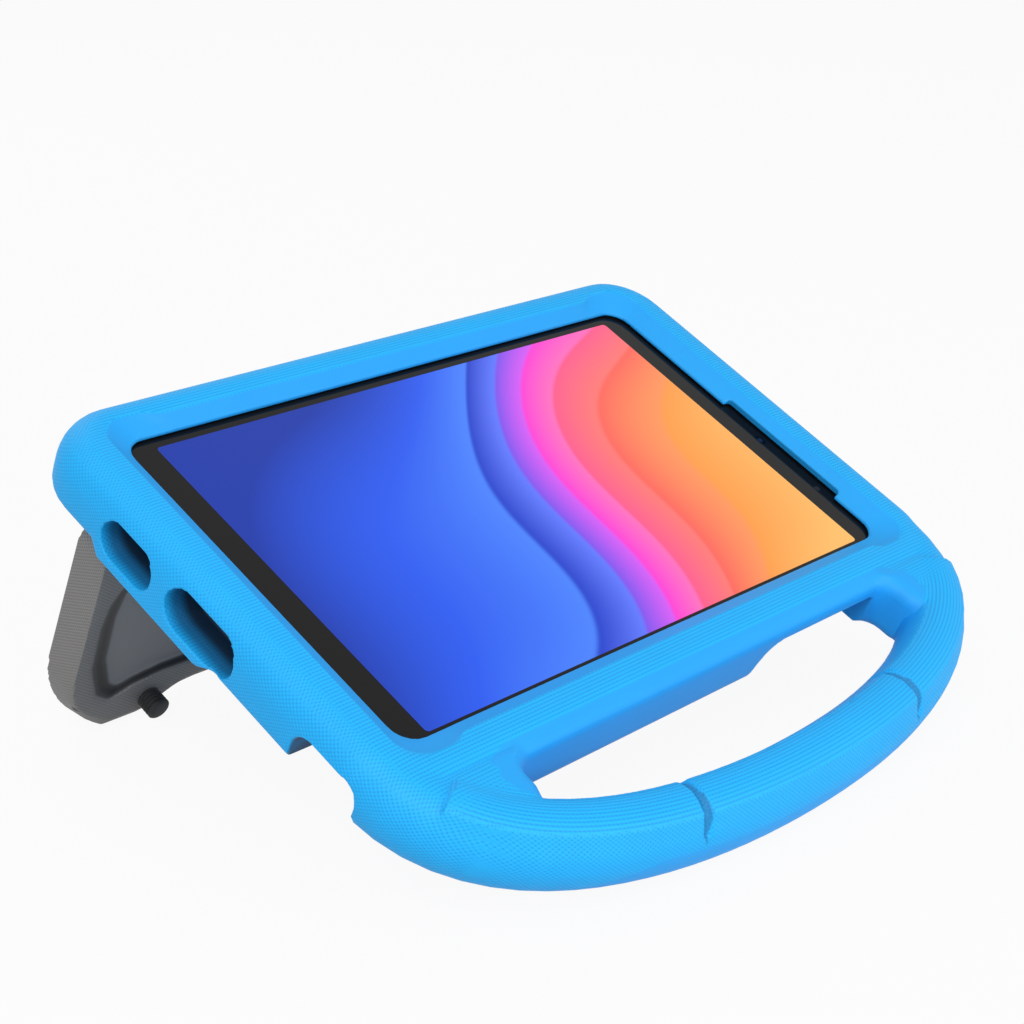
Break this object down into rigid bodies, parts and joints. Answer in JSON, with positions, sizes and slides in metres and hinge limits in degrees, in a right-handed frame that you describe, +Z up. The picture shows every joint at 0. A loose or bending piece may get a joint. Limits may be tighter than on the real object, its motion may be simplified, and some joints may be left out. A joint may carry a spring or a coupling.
{
  "type": "kids tablet case",
  "caption": "Chunky foam tablet case for children with a curved carrying handle along the front and a fold-out stand behind, holding a tablet tilted back.",
  "frame": {"origin": "centre of the footprint, on the level surface that the case stands on", "axes": "+Z up, +X to the right along the long side of the screen, +Y from the handle towards the stand"},
  "size_m": [0.224, 0.1876, 0.0941],
  "materials": {
    "blue_foam": "matt moulded foam with fine ribs",
    "grey_foam": "matt moulded foam with a fine weave",
    "black_rubber": "matt ribbed rubber",
    "bracket_plastic": "fine-grained plastic",
    "steel": "plain steel",
    "screen_glass": "clear glossy glass over a black border",
    "display": "lit display",
    "frame_alloy": "plain sheet",
    "dark_plastic": "satin plastic",
    "battery_foil": "foil pouch",
    "circuit_board": "solder mask"
  },
  "bodies": {
    "case": {"foam_case": "blue_foam", "stand_bracket": "bracket_plastic", "stand_anchor_plate": "steel", "bracket_screw_1": "steel", "bracket_screw_2": "steel", "bracket_screw_3": "steel", "bracket_screw_4": "steel", "stand_hinge_pin": "steel", "tablet_front_glass": "screen_glass", "tablet_display_panel": "display", "tablet_mid_frame": "frame_alloy", "tablet_rear_cover": "dark_plastic", "tablet_battery": "battery_foil", "tablet_main_board": "circuit_board", "tablet_port_board": "circuit_board", "tablet_usb_socket": "steel", "tablet_headphone_socket": "dark_plastic", "tablet_back_speaker": "dark_plastic", "tablet_front_speaker": "dark_plastic", "tablet_front_camera": "dark_plastic", "tablet_rear_camera": "dark_plastic", "tablet_rear_camera_glass": "screen_glass", "tablet_key_board": "circuit_board"},
    "stand": {"stand": "grey_foam", "stand_latch_peg": "black_rubber"},
    "power_button": {"tablet_power_button": "dark_plastic"},
    "volume_button": {"tablet_volume_button": "dark_plastic"}
  },
  "joints": [
    {"name": "stand_fold", "type": "hinge", "parent": "case", "child": "stand", "pos_m": [0, 0.05774, 0.06109], "axis": [-1, 0, 0], "range_deg": [0, 90]},
    {"name": "power_button_press", "type": "slide", "parent": "case", "child": "power_button", "axis": [0, 0.9011, 0.4337], "range_m": [0, 0.0004], "stiffness_N_per_m": 500},
    {"name": "volume_button_press", "type": "slide", "parent": "case", "child": "volume_button", "axis": [0, 0.9011, 0.4337], "range_m": [0, 0.0004], "stiffness_N_per_m": 500}
  ]
}
